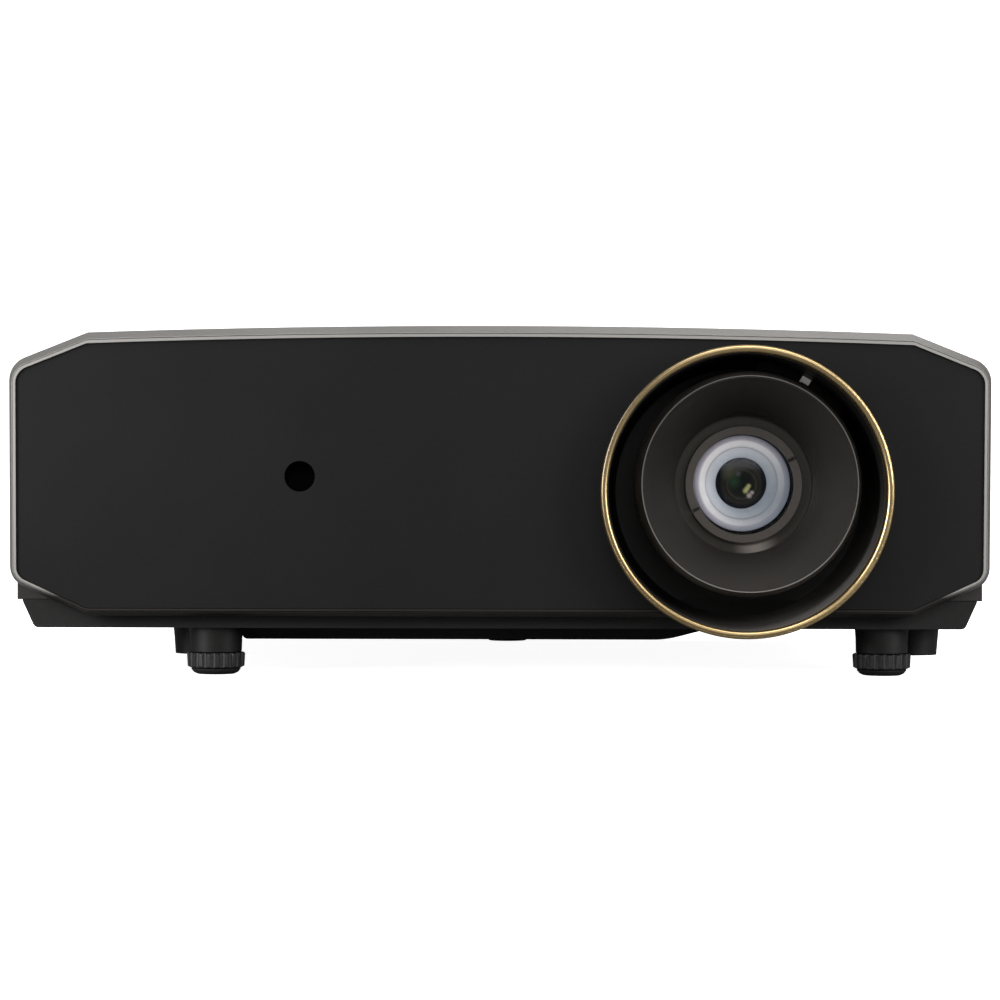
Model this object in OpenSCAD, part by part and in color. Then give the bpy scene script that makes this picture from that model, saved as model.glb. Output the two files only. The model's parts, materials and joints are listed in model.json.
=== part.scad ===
// Home-cinema laser projector with a shifting zoom lens.
// X runs to the right seen from the front, the lens looks along -Y and Z points up.
// The origin is on the table, under the middle of the projector's box.

/* [Casing] */
// Width over the front frame
frame_w = 405; // [400:1:412]
// Depth from the lens ring to the back edge of the casing
overall_d = 341; // [339:1:345]
// Height of the crown of the front frame above the table
peak_z = 145; // [144.5:0.5:147]
// How far the crown falls from the middle to each shoulder
crown_drop = 3.05; // [2:0.05:3.3]
// Distance of each shoulder from the middle
shoulder_x = 170; // [166:1:174]
// Fall of the bevelled shoulders for each millimetre outwards
shoulder_slope = 0.4; // [0.3:0.01:0.42]
// Lower edge of the front frame
frame_low_z = 25.1; // [24:0.1:25.5]
// Underside of the bottom case
base_z = 19.8; // [19.7:0.1:20.2]
// Wall thickness of the casing shells
wall = 2.5; // [2.2:0.1:2.8]

/* [Lens] */
// Middle of the gold ring, from the middle of the projector
ring_x = 100.7; // [99:0.1:103]
// Height of the middle of the gold ring
ring_z = 76.7; // [76.5:0.1:77]
// Outer radius of the gold ring
ring_r = 60; // [60:0.1:61]
// Lens shift to the right at rest, from the middle of the ring
rest_shift_x = 2.1; // [1.8:0.1:2.3]
// Lens shift upwards at rest, from the middle of the ring
rest_shift_z = 3.3; // [3:0.1:3.4]
// Outer radius of the focus ring
focus_r = 46.7; // [46:0.1:46.8]
// Turn of the zoom lever from the top, clockwise seen from the front
lever_angle = 30.2; // [25:0.1:34]

/* [Feet] */
// Distance of the left front foot from the middle
foot_left_x = -119.3; // [-122:0.1:-118]
// Distance of the right front foot from the middle
foot_right_x = 160.7; // [159:0.1:162]
// Radius of the knurled foot wheels
foot_wheel_r = 12.2; // [12:0.1:13]
// Radius of the bore of each ceiling-mount insert
mount_r = 2; // [1.5:0.1:2.5]

/* [Hidden] */
$fn = 64;

half_w = frame_w / 2;
bevel_d = 4;                        // depth of the frame's bevel
ring_front_y = -overall_d / 2;      // front of the gold ring
back_y = overall_d / 2;             // back edge of the casing
frame_y = ring_front_y + 12;        // front of the frame and of the lens
case_y = frame_y + 12.5;            // back of the frame, front of the shells
panel_front_y = frame_y + 0.9;
panel_back_y = panel_front_y + wall;
seam_z = 31.5;                      // joint between top cover and bottom case
floor_z = base_z + wall;            // inside of the bottom case
cover_top_inset = 1.5;              // top cover below the frame
cover_side_inset = 2;               // top cover inside the frame
corner_r = 10;                      // upper corner rounding
low_corner_r = 9;                   // lower corner rounding
low_slope = 0.45;                   // rise of the frame's lower bevels
side_lean = 0.6;                    // how far the frame's sides lean in at their lower ends
crown_steps = 8;                    // flats on each side of the crown
gap = 0.3;                          // running gap between curved moving faces
fit = 0.05;                         // running fit of a shaft in its bore

ring_c = [ring_x, ring_z];
ir_c = [-82.4, 82.7];               // remote-control receiver
ir_r = 6.3;
lens_c = [ring_x + rest_shift_x, ring_z + rest_shift_z];

foot_y = frame_y + 27;              // front feet
boss_y = frame_y + 50;              // front ceiling-mount bosses
rear_y = frame_y + 300;             // rear foot and rear boss
foot_xs = [foot_left_x, foot_right_x];
rear_foot_x = 4;
boss_low_z = 7.4;
bosses = [[-128.7, boss_y], [177.1, boss_y], [31, rear_y]];
foot_boss_low_z = 9.4;
stud_r = 4;
insert_r = 3.4;                     // outside of a ceiling-mount insert
insert_len = 11;

rear_panel_y = back_y - 7.5;        // front face of the rear panel
rear_panel_t = 3;
socket_back_y = back_y - 3;         // mouth of the sockets

grille_y = [-95, 95];
grille_z = [48, 112];

well_x = [70, 136];
well_y = [-91, -40];
well_z = 117;
door_y = [-89, -41];
door_travel = 42;
dial_r = 12;
dials = [[88, -66], [118, -66]];

pad_x = [-122, -38];
pad_y = [80, 130];
pad_top_z = 141.9;
pad_low_z = 137.7;
key_top_z = 143;
cross = [-92, 105];
cross_step = 14;
arrow_r = 4.2;
enter_r = 6;
side_key_r = 4.6;
side_key_x = -53;
side_key_step = 16;
lights_x = -67;

fan_z = 77;
fan_bore_r = 33;
fan_x = 181;
intake_y = 15;
exhaust_front_y = -25;
exhaust_rear_y = 55;

light_axis_y = -10;
light_axis_z = 72;

// ---- Shared helpers ------------------------------------------------------------------

function unit(v) = v / norm(v);

// Points of a round corner of radius r at b, between neighbours a and c
function corner_arc(a, b, c, r, steps = 6) =
    let (u = unit(a - b), w = unit(c - b), half = acos(u * w) / 2)
    let (centre = b + unit(u + w) * r / sin(half), start = b + u * r / tan(half) - centre)
    let (finish = b + w * r / tan(half) - centre, from = atan2(start[1], start[0]))
    let (sweep = (atan2(finish[1], finish[0]) - from + 540) % 360 - 180)
    [for (i = [0 : steps]) let (t = from + sweep * i / steps) centre + r * [cos(t), sin(t)]];

// Outline through corners given as [x, z, rounding]
function rounded(corners) =
    let (n = len(corners), flat = [for (c = corners) [c[0], c[1]]])
    [for (i = [0 : n - 1])
        each corners[i][2] > 0
            ? corner_arc(flat[(i + n - 1) % n], flat[i], flat[(i + 1) % n], corners[i][2])
            : [flat[i]]];

// Corners along the crowned top, left to right
function crown_corners(top) =
    [for (i = [-crown_steps : crown_steps]) let (x = i * shoulder_x / crown_steps)
        [x, peak_z - top - crown_drop * pow(x / shoulder_x, 2), 0]];

// Upper corner on the right (way = 1) or on the left (way = -1)
function shoulder_corner(top, side, way) =
    [way * (half_w - side),
     peak_z - top - crown_drop - shoulder_slope * (half_w - side - shoulder_x),
     corner_r - side];

// Outline of the front frame, moved in by top, side and low
function frame_outline(top, side, low) =
    let (z = frame_low_z + low, x = half_w - side, corner_z = z + low_slope * (x - shoulder_x))
    rounded(concat(crown_corners(top),
        [shoulder_corner(top, side, 1), [x - side_lean, corner_z, low_corner_r - side], [shoulder_x, z, 3],
         [-shoulder_x, z, 3], [side_lean - x, corner_z, low_corner_r - side],
         shoulder_corner(top, side, -1)]));

// Outline of the top cover, moved in by inset, closed at low_z
function cover_outline(inset, low_z) =
    let (top = cover_top_inset + inset, side = cover_side_inset + inset, x = half_w - side)
    rounded(concat(crown_corners(top),
        [shoulder_corner(top, side, 1), [x, low_z, 0], [-x, low_z, 0],
         shoulder_corner(top, side, -1)]));

// Solid from an XZ section, from y0 back to y1
module along_y(y0, y1) {
    translate([0, y1, 0]) rotate([90, 0, 0]) linear_extrude(y1 - y0) children();
}

// Solid from a YZ section, from x0 to x1
module along_x(x0, x1) {
    translate([x0, 0, 0]) rotate([90, 0, 90]) linear_extrude(x1 - x0) children();
}

// Turned part from a [radius, y] section, about the Y line through c = [x, z]
module turned(c) {
    translate([c[0], 0, c[1]]) rotate([-90, 0, 0]) rotate_extrude($fn = 128) children();
}

module disc_y(c, r, y0, y1) {
    translate([c[0], y1, c[1]]) rotate([90, 0, 0]) cylinder(r = r, h = y1 - y0, $fn = 96);
}

module disc_x(y, z, r, x0, x1) {
    translate([x0, y, z]) rotate([0, 90, 0]) cylinder(r = r, h = x1 - x0);
}

module disc_z(x, y, r, z0, z1) {
    translate([x, y, z0]) cylinder(r = r, h = z1 - z0);
}

module block(x, y, z) {
    translate([x[0], y[0], z[0]]) cube([x[1] - x[0], y[1] - y[0], z[1] - z[0]]);
}

// Rectangle between two corners, for sections
module rect(x, z) {
    translate([x[0], z[0]]) square([x[1] - x[0], z[1] - z[0]]);
}

// ---- Casing --------------------------------------------------------------------------

// Bevelled metallic rim around the front, with a thin lip next to the front panel
module front_frame() {
    color("#6f6a65") difference() {
        union() {
            along_y(frame_y + bevel_d, case_y) polygon(frame_outline(0, 0, 0));
            difference() {
                hull() {
                    along_y(frame_y + bevel_d - 0.1, frame_y + bevel_d)
                        polygon(frame_outline(0, 0, 0));
                    along_y(frame_y + 0.8, frame_y + 0.9) polygon(frame_outline(2.9, 1.5, 1.7));
                }
                along_y(frame_y, frame_y + 2) polygon(frame_outline(3.15, 1.8, 2));
            }
            along_y(frame_y, frame_y + bevel_d) polygon(frame_outline(3.5, 2.1, 2.3));
        }
        along_y(frame_y - 1, case_y + 1) polygon(frame_outline(4.7, 3.2, 3.1));
        disc_y(ring_c, ring_r - 0.3, frame_y - 1, case_y + 1);
    }
}

module front_panel() {
    color("#202020") along_y(panel_front_y, panel_back_y) difference() {
        polygon(frame_outline(4.8, 3.3, 3.2));
        translate(ring_c) circle(r = ring_r - 0.3, $fn = 128);
        translate(ir_c) circle(r = ir_r);
    }
}

// One-piece top and sides
module top_cover() {
    color("#2a2827") difference() {
        union() {
            along_y(case_y, back_y) difference() {
                polygon(cover_outline(0, seam_z));
                polygon(cover_outline(wall, seam_z - 1));
            }
            // lip behind the lower bevels of the frame
            along_y(case_y, case_y + wall) intersection() {
                polygon(cover_outline(0.5, seam_z));
                union() {
                    rect([-half_w, -165], [seam_z, 52]);
                    rect([165, half_w], [seam_z, 52]);
                }
            }
        }
        for (way = [-1, 1])
            block([way * half_w - 6, way * half_w + 6], grille_y, grille_z);
        block([well_x[0] + 3, well_x[1] - 3], [door_y[0] + 3, door_y[1] - 3], [130, 150]);
        block(pad_x, pad_y, [130, 150]);
    }
}

// Tray with slanting sides, the foot bosses and the board posts
module bottom_case() {
    color("#181818") difference() {
        union() {
            along_y(case_y, back_y) difference() {
                polygon(tray_outline(0));
                polygon(tray_outline(wall));
            }
            along_y(case_y, case_y + wall) {
                polygon(tray_outline(0.2));
                rect([-164.8, 164.8], [base_z + 1, 45]);
            }
            // light trap behind the lens shroud
            block([62, 146], [frame_y + 34, frame_y + 35.4], [floor_z - 1, 34.2]);
            for (x = foot_xs) {
                translate([x, foot_y, foot_boss_low_z])
                    cylinder(r1 = 10.8, r2 = 11.4, h = floor_z - foot_boss_low_z);
                disc_z(x, foot_y, 8, floor_z - 1, 42);
            }
            for (p = concat(main_posts, power_posts))
                disc_z(p[0], p[1], 3, floor_z - 1, p[2]);
        }
        disc_y(ring_c, ring_r - 2.4, case_y - 1, frame_y + 33.4);
        for (x = foot_xs)
            disc_z(x, foot_y, stud_r + fit, foot_boss_low_z - 1, 43);
        for (s = base_screws) {
            disc_z(s[0], s[1], 1.6, base_z - 1, floor_z + 1);
            disc_z(s[0], s[1], 3.2, base_z - 1, base_z + 1.2);
        }
        for (x = [-60 : 6 : 60])
            block([x, x + 2.4], [92, 112], [base_z - 1, floor_z + 1]);
    }
}

// Tray section: slanting sides between the seam and the flat underside
function tray_outline(inset) =
    let (x = half_w - inset)
    rounded([[x - 4.2, seam_z, 0], [x - 4.2, seam_z - 0.5, 0],
             [x - 9.3, base_z + inset, 2.5], [9.3 - x, base_z + inset, 2.5],
             [4.2 - x, seam_z - 0.5, 0], [4.2 - x, seam_z, 0]]);

main_posts = [for (x = [-155, -50]) for (y = [80, 150]) [x, y, 30]];
power_posts = [for (x = [-12, 108]) for (y = [40, 80]) [x, y, 27]];
base_screws = concat([for (x = [-182, 182]) for (y = [-90, 0, 90]) [x, y]],
                     [[-60, -136], [40, -136]]);

// Shallow cover under the laser and its heat pipes, with a ramp at its right end
module base_cover() {
    y0 = boss_y + 10.5;
    y1 = 84;
    skin = 2;
    low_z = 12.8;
    color("#0d0d0d") difference() {
        along_y(y0, y1)
            polygon(rounded([[-111.7, base_z, 0], [-111.7, low_z, 2.5], [72, low_z, 40],
                             [98, base_z - 0.4, 0], [98, base_z, 0]]));
        along_y(y0 + skin, y1 - skin)
            polygon([[-109.7, base_z + 1], [-109.7, low_z + skin], [60, low_z + skin],
                     [80, base_z - 1], [80, base_z + 1]]);
    }
}

// Recessed rear panel with a window for each socket and a field of air slots
module rear_panel() {
    color("#1c1c1c") difference() {
        union() {
            along_y(rear_panel_y, rear_panel_y + rear_panel_t) intersection() {
                polygon(cover_outline(wall + 0.1, seam_z + 0.1));
                rect([-half_w, half_w], [seam_z + 0.1, peak_z]);
            }
            block([-188, 188], [rear_panel_y, rear_panel_y + rear_panel_t], [floor_z + 0.1, 32]);
        }
        along_y(rear_panel_y - 1, back_y) {
            for (s = sockets)
                rect([s[0] - s[1] / 2 - 0.2, s[0] + s[1] / 2 + 0.2], [s[2] - 0.2, s[2] + s[3] + 0.2]);
            rect([inlet_x[0] - 0.2, inlet_x[1] + 0.2], [inlet_z[0] - 0.2, inlet_z[1] + 0.2]);
            for (x = [-150 : 6 : 168])
                for (z = [66, 98])
                    rect([x, x + 2.6], [z, z + 26]);
            rect([172, 179], [50, 53]);
        }
        for (j = jacks)
            disc_y([j, jack_z], 3.4, rear_panel_y - 1, back_y);
        for (s = rear_screws)
            disc_y(s, 1.6, rear_panel_y - 1, back_y);
    }
}

rear_screws = [[-165, 36], [165, 36], [-165, 58], [165, 58]];

// Louvred side grille, filling the window in the side of the top cover
module side_grille(way) {
    outer = way > 0 ? half_w - cover_side_inset - 0.4 : -half_w + cover_side_inset + 0.4 - 2.2;
    inner = way > 0 ? half_w - cover_side_inset - wall - 1.5 : -half_w + cover_side_inset + wall + 0.1;
    color("#151515") {
        along_x(outer, outer + 2.2) difference() {
            rect([grille_y[0] + 0.1, grille_y[1] - 0.1], [grille_z[0] + 0.1, grille_z[1] - 0.1]);
            for (z = [grille_z[0] + 4 : 5 : grille_z[1] - 6])
                for (y = [grille_y[0] + 5, 2.5])
                    rect([y, y + 87.5], [z, z + 3]);
        }
        // flange behind the wall
        along_x(inner, inner + 1.4) difference() {
            rect([grille_y[0] - 4, grille_y[1] + 4], [grille_z[0] - 4, grille_z[1] + 4]);
            rect([grille_y[0] + 4, grille_y[1] - 4], [grille_z[0] + 3, grille_z[1] - 4]);
        }
        link = way > 0 ? [inner, outer + 1] : [outer + 1, inner + 1.4];
        along_x(link[0], link[1]) difference() {
            rect([grille_y[0] + 0.1, grille_y[1] - 0.1], [grille_z[0] + 0.1, grille_z[1] - 0.1]);
            rect([grille_y[0] + 4, grille_y[1] - 4], [grille_z[0] + 3, grille_z[1] - 4]);
        }
    }
}

module side_grille_left() { side_grille(-1); }
module side_grille_right() { side_grille(1); }

// Gold trim ring with a rounded face and two fine grooves outside its crest
module lens_ring() {
    bead_r = 1.55;
    bead_c = ring_r - bead_r;
    bead = [for (i = [0 : 16]) let (t = 11.25 * i)
        [bead_c - bead_r * cos(t), ring_front_y + bead_r * (1 - sin(t))]];
    color("#b08a45") difference() {
        turned(ring_c) polygon(concat(bead, [[ring_r, ring_front_y + 6], [ring_r - 3.1, ring_front_y + 6]]));
        for (groove = [[0.55, 0.5], [1, 0.8]])
            turned(ring_c) translate([bead_c + groove[0], ring_front_y + groove[1] - 0.45])
                circle(r = 0.15, $fn = 24);
    }
}

// Bowl around the lens: its inside curves in from the gold ring to the back lip
module lens_shroud() {
    front = ring_front_y + 6;
    depth = 36.5;
    bowl = [for (i = [0 : 10]) let (t = 9 * i) [52 + 4.4 * cos(t), front + depth * sin(t)]];
    collar = ring_r - 0.6;
    back = [for (i = [10 : -1 : 0]) if (bowl[i][1] > panel_back_y + 2) [bowl[i][0] + 1.2, bowl[i][1]]];
    color("#0e0e0e") difference() {
        turned(ring_c) polygon(concat(bowl, back, [[collar, panel_back_y + 1], [collar, front]]));
        // window that the zoom lever swings in
        intersection() {
            turned(ring_c) rect([50, 65], [frame_y + 19.5, frame_y + 34]);
            along_y(frame_y, frame_y + 40) translate(lens_c)
                polygon([[0, 0], [8.4, 80], [100, 80], [100, 71.6]]);
        }
    }
}

// Cup behind the hole for the remote control's receiver, with a dark disc at its end
module ir_window() {
    color("#100808") turned(ir_c)
        polygon([[6.4, panel_back_y], [7.8, panel_back_y], [7.8, panel_back_y + 8.6],
                 [0, panel_back_y + 8.6], [0, panel_back_y + 7], [6.4, panel_back_y + 7]]);
}

// ---- Dials under the sliding door -------------------------------------------------------

// Door that slides back under the skin of the top cover, with a ribbed grip
module shift_door() {
    low = cover_top_inset + wall;
    color("#232120") difference() {
        along_y(door_y[0], door_y[1]) intersection() {
            difference() {
                polygon(cover_outline(wall + gap, seam_z));
                polygon(cover_outline(wall + gap + 1.6, seam_z - 1));
            }
            rect([well_x[0] + 1, well_x[1] - 1], [130, 150]);
        }
        for (y = [door_y[0] + 7 : 2.4 : door_y[0] + 15])
            along_y(y, y + 1.2) intersection() {
                difference() {
                    polygon(cover_outline(wall, seam_z));
                    polygon(cover_outline(wall + gap + 0.7, seam_z - 1));
                }
                rect([93, 113], [130, 150]);
            }
    }
}

// Open tub that holds the dials, with two rails that carry the door
module dial_well() {
    rim = peak_z - cover_top_inset - wall - crown_drop - 2.6;
    color("#1b1b1b") {
        difference() {
            block(well_x, well_y, [well_z, rim]);
            block([well_x[0] + 2, well_x[1] - 2], [well_y[0] + 2, well_y[1] - 2], [well_z + 2, rim + 1]);
            for (d = dials)
                disc_z(d[0], d[1], 3.05, well_z - 1, well_z + 3);
        }
        for (x = [well_x[0], well_x[1] - 2])
            block([x, x + 2], [well_y[1] - 0.5, well_y[1] + door_travel + 2], [rim - 4, rim]);
    }
}

module shift_dial(at) {
    color("#3a3a3a") {
        difference() {
            disc_z(at[0], at[1], dial_r, well_z + 2.6, well_z + 9);
            for (i = [0 : 23])
                translate([at[0], at[1], 0]) rotate(15 * i)
                    disc_z(dial_r + 0.4, 0, 1, well_z + 2, well_z + 10);
            disc_z(at[0], at[1], 8, well_z + 8.2, well_z + 10);
        }
        disc_z(at[0], at[1], 3, well_z - 1, well_z + 3);
    }
}

module shift_dial_vertical() { shift_dial(dials[0]); }
module shift_dial_horizontal() { shift_dial(dials[1]); }

// ---- Lens shift mechanism ---------------------------------------------------------------

stage_y = frame_y + 50.5;           // front face of the horizontal stage
rod_r = 2;
rod_xs = [lens_c[0] - 48, lens_c[0] + 48];
rod_y = stage_y + 7.3;

// Fixed plate behind the stages, with arms that hold the ends of the guide rods
module shift_frame() {
    color("#8a8c8f") difference() {
        union() {
            along_y(stage_y + 11.5, stage_y + 14.5) difference() {
                rect([46, 161], [floor_z, 133]);
                translate(lens_c) circle(r = 42);
            }
            for (x = rod_xs) {
                block([x - 4, x + 4], [rod_y - 3.8, stage_y + 12], [127.5, 131.5]);
                block([x - 4, x + 4], [rod_y - 3.8, stage_y + 12], [floor_z, 26.6]);
            }
        }
        for (x = rod_xs)
            disc_z(x, rod_y, rod_r + 0.02, floor_z + 1, 130.5);
    }
}

module guide_rods() {
    color("#c4c6c8") for (x = rod_xs)
        disc_z(x, rod_y, rod_r, floor_z + 1, 130.5);
}

// Carriage that slides up and down on the rods
module vertical_stage() {
    z = lens_c[1];
    x = lens_c[0];
    color("#9a9c9f") difference() {
        union() {
            block([x - 53, x + 53], [stage_y + 3.8, stage_y + 10.8], [z - 46, z + 46]);
            for (side = [[z - 46, z - 42.4], [z + 42.4, z + 46]])
                block([x - 45, x + 45], [stage_y, stage_y + 4], side);
        }
        disc_y([x - 2, z], 38, stage_y + 3, stage_y + 12);
        for (rx = rod_xs)
            disc_z(rx, rod_y, rod_r + fit, z - 50, z + 50);
    }
}

// Plate that slides sideways in the carriage and carries the lens
module horizontal_stage() {
    color("#77797c") along_y(stage_y, stage_y + 3.5) difference() {
        rect([lens_c[0] - 44, lens_c[0] + 44], [lens_c[1] - 42, lens_c[1] + 42]);
        translate(lens_c) circle(r = 33.1);
    }
}

// Thin disc that closes the gap behind the shroud
module lens_baffle() {
    color("#0a0a0a") along_y(frame_y + 31.7, frame_y + 32.9) difference() {
        intersection() {
            translate(lens_c) circle(r = 57, $fn = 96);
            rect([0, 200], [lens_c[1] - 49, 200]);
        }
        translate(lens_c) circle(r = 44.1);
    }
}

// ---- Lens -------------------------------------------------------------------------------

cone_r = 29.1;                      // bottom of the cone and bore of the front cell
cone_y = frame_y + 28.5;
zoom_bore_r = 26.05;
element_r = 21.1;
cell_y = frame_y + 31;              // face of the front cell

// Fixed body of the lens: front cone, stepped bore and mounting flange
module lens_barrel() {
    color("#16130f") turned(lens_c)
        polygon([[43.75, frame_y + 0.5], [44, frame_y + 0.5], [44, frame_y + 17.4],
                 [45.4, frame_y + 17.4], [45.4, frame_y + 18.9], [42, frame_y + 18.9],
                 [42, frame_y + 31.3], [44, frame_y + 31.3], [44, frame_y + 33.5],
                 [38, frame_y + 33.5], [38, stage_y - 4], [46, stage_y - 4], [46, stage_y],
                 [33, stage_y], [33, frame_y + 96.5], [17, frame_y + 96.5],
                 [17, frame_y + 94], [zoom_bore_r, frame_y + 94], [zoom_bore_r, frame_y + 54.5],
                 [cone_r, frame_y + 54.5], [cone_r, cone_y], [cone_r + 0.6, cone_y - 0.6]]);
}

// Ring with a thin front lip, a sloping shoulder and a grip groove
module focus_ring() {
    color("#1a1917") turned(lens_c)
        polygon([[44 + fit, frame_y + 0.4], [44.3, frame_y], [44.7, frame_y],
                 [45.1, frame_y + 1.4], [focus_r, frame_y + 6], [focus_r, frame_y + 7.2],
                 [focus_r - 0.4, frame_y + 7.5], [focus_r - 0.4, frame_y + 14.7],
                 [focus_r, frame_y + 15], [focus_r, frame_y + 17.1], [44 + fit, frame_y + 17.1]]);
}

// Rotates children clockwise from the top of the lens, seen from the front
module at_lever() {
    translate([lens_c[0], 0, lens_c[1]]) rotate([0, lever_angle, 0]) children();
}

module zoom_ring() {
    color("#171614") {
        turned(lens_c) polygon([[42 + fit, frame_y + 19.2], [46.2, frame_y + 19.2],
                                [46.2, frame_y + 31], [42 + fit, frame_y + 31]]);
        at_lever() block([-1.4, 1.4], [frame_y + 22.6, frame_y + 27.4], [45, 49]);
    }
}

module zoom_lever() {
    color("#a8a8a8") at_lever() block([-1.9, 1.9], [frame_y + 22, frame_y + 28], [49, 52]);
}

// Cell of the front lens group, which the focus ring moves along the axis
module front_cell() {
    color("#3a2a1c") turned(lens_c)
        polygon([[cone_r - fit, cell_y], [cone_r - fit, cell_y + 16], [19.5, cell_y + 16],
                 [19.5, cell_y + 9], [element_r + 0.05, cell_y + 9], [element_r + 0.05, cell_y + 1.5],
                 [25, cell_y + 1.5], [25, cell_y]]);
}

module retaining_ring() {
    color("#1c1712") difference() {
        turned(lens_c) rect([element_r + 0.15, 24.9], [cell_y - 1.8, cell_y + 1.5]);
        for (turn = [62.5, 242])
            translate([lens_c[0], 0, lens_c[1]]) rotate([0, turn, 0])
                block([-0.9, 0.9], [cell_y - 3, cell_y + 0.2], [20, 26]);
    }
}

// Front glass, domed at the front and hollowed at the back
module front_element() {
    dome = [for (i = [0 : 8]) let (r = element_r * i / 8)
        [r, cell_y - 3.6 + 3.8 * pow(r / element_r, 2)]];
    color("#8fa3c4") turned(lens_c)
        polygon(concat(dome, [[element_r, cell_y + 8.9], [17, cell_y + 8.9], [9, cell_y + 6.8],
                              [0, cell_y + 6]]));
}

// Cell and glass of the middle lens group, which the zoom ring moves along the axis
module zoom_group() {
    color("#5b6b88") turned(lens_c)
        polygon([[0, frame_y + 67], [10, frame_y + 68], [22, frame_y + 66.5],
                 [zoom_bore_r - fit, frame_y + 66.5], [zoom_bore_r - fit, frame_y + 82.5],
                 [22, frame_y + 82.5], [12, frame_y + 80], [0, frame_y + 79]]);
}

// ---- Keys -------------------------------------------------------------------------------

keys = [
    [side_key_x, cross[1] + side_key_step, side_key_r],
    [side_key_x, cross[1], side_key_r],
    [side_key_x, cross[1] - side_key_step, side_key_r],
    [cross[0], cross[1] + cross_step, arrow_r],
    [cross[0], cross[1] - cross_step, arrow_r],
    [cross[0] - cross_step, cross[1], arrow_r],
    [cross[0] + cross_step, cross[1], arrow_r],
    [cross[0], cross[1], enter_r]
];
light_ys = [cross[1] - 9, cross[1], cross[1] + 9];

// Plate in the window of the top cover, with a flange under the skin
module key_panel() {
    color("#111111") difference() {
        union() {
            block([pad_x[0] + 0.2, pad_x[1] - 0.2], [pad_y[0] + 0.2, pad_y[1] - 0.2],
                  [pad_low_z, pad_top_z]);
            block([pad_x[0] - 3, pad_x[1] + 3], [pad_y[0] - 3, pad_y[1] + 3],
                  [pad_low_z, pad_low_z + 1.4]);
        }
        for (k = keys)
            disc_z(k[0], k[1], k[2] + gap, pad_low_z - 1, pad_top_z + 1);
        for (y = light_ys)
            disc_z(lights_x, y, 1.25, pad_low_z - 1, pad_top_z + 1);
    }
}

module key(k) {
    color("#2c2c2c") {
        disc_z(k[0], k[1], k[2], pad_low_z - 1.3, key_top_z);
        disc_z(k[0], k[1], k[2] + 1, pad_low_z - 1.3, pad_low_z - 0.3);
    }
}

module key_power() { key(keys[0]); }
module key_menu() { key(keys[1]); }
module key_back() { key(keys[2]); }
module key_up() { key(keys[3]); }
module key_down() { key(keys[4]); }
module key_left() { key(keys[5]); }
module key_right() { key(keys[6]); }
module key_enter() { key(keys[7]); }

module status_lights() {
    color("#d8e6f0") for (y = light_ys)
        disc_z(lights_x, y, 1.2, pad_low_z - 1, pad_top_z + 0.1);
}

// Board under the keys, with one switch dome for each key, and the board with the receiver
// behind the infrared window
module small_boards() {
    color("#1f4d2b") {
        block([pad_x[0], pad_x[1]], pad_y, [132.4, 134]);
        for (k = keys)
            disc_z(k[0], k[1], 1.8, 133.9, 135.3);
        block([ir_c[0] - 12, ir_c[0] + 12], [panel_back_y + 12, panel_back_y + 13.6],
              [ir_c[1] - 11, ir_c[1] + 10]);
        block([ir_c[0] - 3, ir_c[0] + 3], [panel_back_y + 9, panel_back_y + 12.1],
              [ir_c[1] - 3, ir_c[1] + 3]);
    }
}

// ---- Feet and fixings ---------------------------------------------------------------------

// Steel stud with its rubber-faced pad, which screws down out of the boss
module foot_stud(x) {
    color("#9a9a9a") {
        disc_z(x, foot_y, stud_r, 1, 29);
        turned_z(x, foot_y) polygon([[0, 0], [7.8, 0], [9.3, 0.7], [10.3, 1.9], [10.3, 2.4], [0, 2.4]]);
    }
}

// Turned part from a [radius, z] section, about the upright line through x, y
module turned_z(x, y) {
    translate([x, y, 0]) rotate_extrude($fn = 96) children();
}

// Knurled wheel around the stud
module foot_wheel(x) {
    color("#1d1d1d") difference() {
        turned_z(x, foot_y)
            polygon([[stud_r + fit, 2.7], [foot_wheel_r - 1.5, 2.7], [foot_wheel_r - 0.3, 3.3],
                     [foot_wheel_r, 8.5], [foot_wheel_r - 0.5, 9], [stud_r + fit, 9]]);
        for (i = [0 : 19])
            translate([x, foot_y, 0]) rotate(18 * i)
                disc_z(foot_wheel_r + 0.3, 0, 1.2, 2, 10);
    }
}

module foot_stud_left() { foot_stud(foot_left_x); }
module foot_wheel_left() { foot_wheel(foot_left_x); }
module foot_stud_right() { foot_stud(foot_right_x); }
module foot_wheel_right() { foot_wheel(foot_right_x); }

module rear_foot() {
    color("#151515") turned_z(rear_foot_x, rear_y)
        polygon([[0, 0], [9.5, 0], [10.5, 1], [11.5, base_z], [0, base_z]]);
}

// Three bosses under the tray, each with a blind pocket for a threaded insert
module ceiling_bosses() {
    color("#1b1b1b") for (b = bosses)
        difference() {
            translate([b[0], b[1], boss_low_z])
                cylinder(r1 = 10.3, r2 = 11.4, h = base_z - boss_low_z);
            disc_z(b[0], b[1], insert_r, boss_low_z - 1, boss_low_z + insert_len);
        }
}

// Threaded brass inserts in the three ceiling-mount bosses
module mount_inserts() {
    color("#b5964f") for (b = bosses)
        difference() {
            disc_z(b[0], b[1], insert_r - 0.02, boss_low_z + 0.4, boss_low_z + insert_len);
            disc_z(b[0], b[1], mount_r, boss_low_z, boss_low_z + insert_len + 1);
        }
}

module casing_screws() {
    color("#808080") {
        for (s = base_screws) {
            disc_z(s[0], s[1], 3.1, base_z + 0.1, base_z + 1.2);
            disc_z(s[0], s[1], 1.5, base_z + 1.1, floor_z + 5);
        }
        for (s = rear_screws) {
            disc_y(s, 3, rear_panel_y + rear_panel_t, rear_panel_y + rear_panel_t + 1.6);
            disc_y(s, 1.5, rear_panel_y - 5, rear_panel_y + rear_panel_t + 0.1);
        }
    }
}

// ---- Sockets and boards -------------------------------------------------------------------

board_z = 31.6;                     // upper face of the main board
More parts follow.
